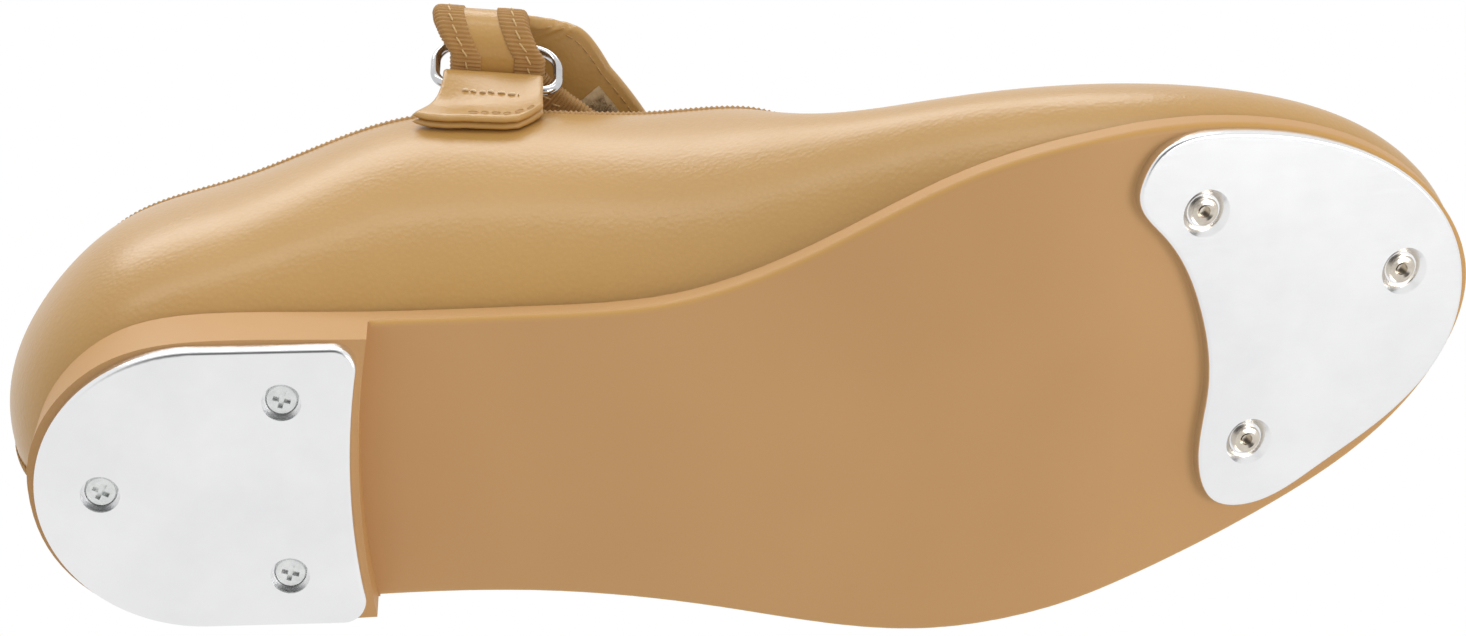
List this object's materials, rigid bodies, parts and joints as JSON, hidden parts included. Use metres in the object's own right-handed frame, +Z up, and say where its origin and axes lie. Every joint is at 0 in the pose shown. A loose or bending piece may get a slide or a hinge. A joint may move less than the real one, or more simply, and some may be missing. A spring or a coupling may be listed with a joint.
{
  "type": "tap shoe",
  "caption": "Flat leather tap shoe for the left foot, with a metal heel plate, a metal toe plate and an instep strap turned back through a wire ring.",
  "frame": {"origin": "centre of the heel tap's flat walking face, which stands on the floor", "axes": "+X from the heel towards the toe, +Y to the outer (little toe) side, +Z up out of the floor"},
  "size_m": [0.2538, 0.0986, 0.0833],
  "materials": {
    "tan_sole": "smooth satin moulded rubber, slightly lighter at the edge",
    "core_plastic": "plain moulded plastic, hidden inside the heel",
    "tap_metal": "sand cast and tumbled aluminium alloy, fine scratches",
    "zinc_steel": "zinc plated steel, dull, with tool marks in the recess",
    "nickel_steel": "warm nickel plated steel, softly bright",
    "shank_steel": "plain spring steel, hidden",
    "fibre_board": "pressed cellulose fibre board, matte",
    "filler_foam": "soft foam and felt, matte",
    "sock_cloth": "brushed cotton cloth, matte",
    "tan_leather": "fine grained polyurethane coated leather, satin",
    "lining_cloth": "knitted cotton cloth, matte",
    "binding_tape": "ribbed grosgrain tape, matte with a soft sheen",
    "loop_pile": "fuzzy loop pile, matte",
    "hook_pile": "rows of small nylon hooks, matte",
    "ring_chrome": "bright plated wire"
  },
  "bodies": {
    "shoe": {"outsole": "tan_sole", "heel_core": "core_plastic", "heel_tap": "tap_metal", "toe_tap": "tap_metal", "heel_tap_screws": "zinc_steel", "toe_tap_rivets": "nickel_steel", "rivet_washers": "nickel_steel", "shank": "shank_steel", "tap_board": "fibre_board", "bottom_filler": "filler_foam", "insole_board": "fibre_board", "foam_insole": "filler_foam", "sock_liner": "sock_cloth", "upper": "tan_leather", "heel_counter": "fibre_board", "interlining": "filler_foam", "toe_puff": "fibre_board", "lining": "lining_cloth", "collar_binding": "binding_tape", "strap": "tan_leather", "strap_edge_tape": "binding_tape", "loop_patch": "loop_pile", "ring_tab": "tan_leather"},
    "flap": {"strap_flap": "tan_leather", "flap_edge_tape": "tan_leather", "hook_patch": "hook_pile"},
    "ring": {"strap_ring": "ring_chrome"}
  },
  "joints": [
    {"name": "flap_peel", "type": "hinge", "parent": "shoe", "child": "flap", "pos_m": [0.05006, -0.05208, 0.08315], "axis": [0.9962, 0.0872, 0], "range_deg": [0, 110]},
    {"name": "ring_swing", "type": "hinge", "parent": "shoe", "child": "ring", "pos_m": [0.0505, -0.0479, 0.066], "axis": [0.9962, 0.0872, 0], "range_deg": [-5, 9]}
  ]
}
